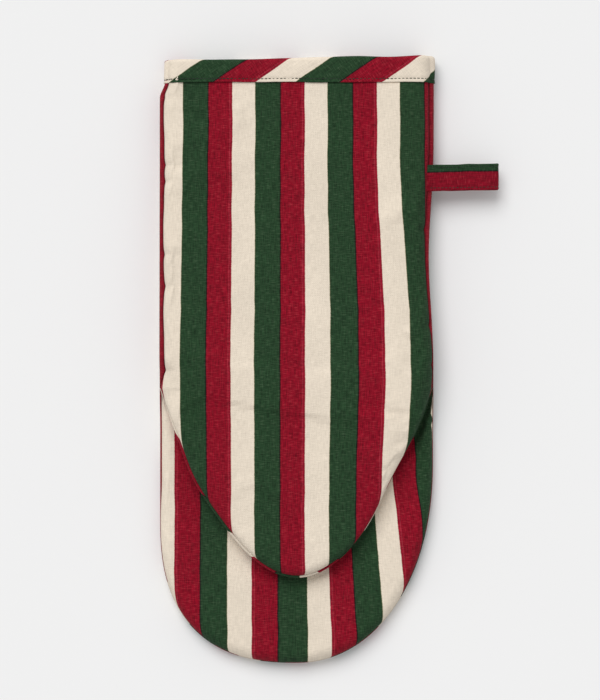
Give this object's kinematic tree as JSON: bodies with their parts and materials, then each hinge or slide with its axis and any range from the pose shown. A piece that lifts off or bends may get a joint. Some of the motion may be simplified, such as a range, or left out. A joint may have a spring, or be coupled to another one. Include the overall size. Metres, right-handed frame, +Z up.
{
  "type": "oven mitt",
  "caption": "Long padded oven mitt with a finger pocket, a thumb tongue that lifts over it, a bound cuff and a hanging loop.",
  "frame": {"origin": "on the surface that the mitt lies on, under the middle of the mouth's fold", "axes": "+Z up, away from the surface; +Y from the mouth's fold to the cuff; +X to the side with the hanging loop; the fingers point along -Y"},
  "size_m": [0.2058, 0.3686, 0.0278],
  "materials": {
    "striped_cotton": "matt plain-weave cotton printed with green, red and cream stripes",
    "bias_cotton": "the same striped cotton cut on the slant",
    "loop_cotton": "the same striped cotton, red with a green edge, folded and pressed",
    "wadding": "soft needled cotton wadding",
    "lining_cotton": "plain natural cotton",
    "green_thread": "dark green polyester sewing thread",
    "seam_thread": "sewing thread sunk in the seam"
  },
  "bodies": {
    "root": {"back_cloth": "striped_cotton", "back_wadding": "wadding", "back_lining": "lining_cotton", "front_cloth": "striped_cotton", "front_wadding": "wadding", "front_lining": "lining_cotton", "mouth_cloth": "striped_cotton", "mouth_wadding": "wadding", "mouth_lining": "lining_cotton", "cuff_binding": "bias_cotton", "binding_stitches": "green_thread", "finger_seam": "seam_thread", "side_seam_right": "seam_thread", "side_seam_left": "seam_thread", "loop_tab": "loop_cotton"},
    "thumb_tongue": {"thumb_cloth": "striped_cotton", "thumb_wadding": "wadding", "thumb_lining": "lining_cotton", "thumb_mouth_cloth": "striped_cotton", "thumb_mouth_wadding": "wadding", "thumb_mouth_lining": "lining_cotton", "thumb_seam": "seam_thread"},
    "loop": {"hanging_loop": "loop_cotton", "loop_stitches": "green_thread"}
  },
  "joints": [
    {"name": "tongue_lift", "type": "hinge", "parent": "root", "child": "thumb_tongue", "pos_m": [0, 0, 0.021], "axis": [-1, 0, 0], "range_deg": [0, 70]},
    {"name": "loop_swing", "type": "hinge", "parent": "root", "child": "loop", "pos_m": [0.08473, 0.1285, 0.01077], "axis": [0, -1, 0], "range_deg": [-8, 75]}
  ]
}
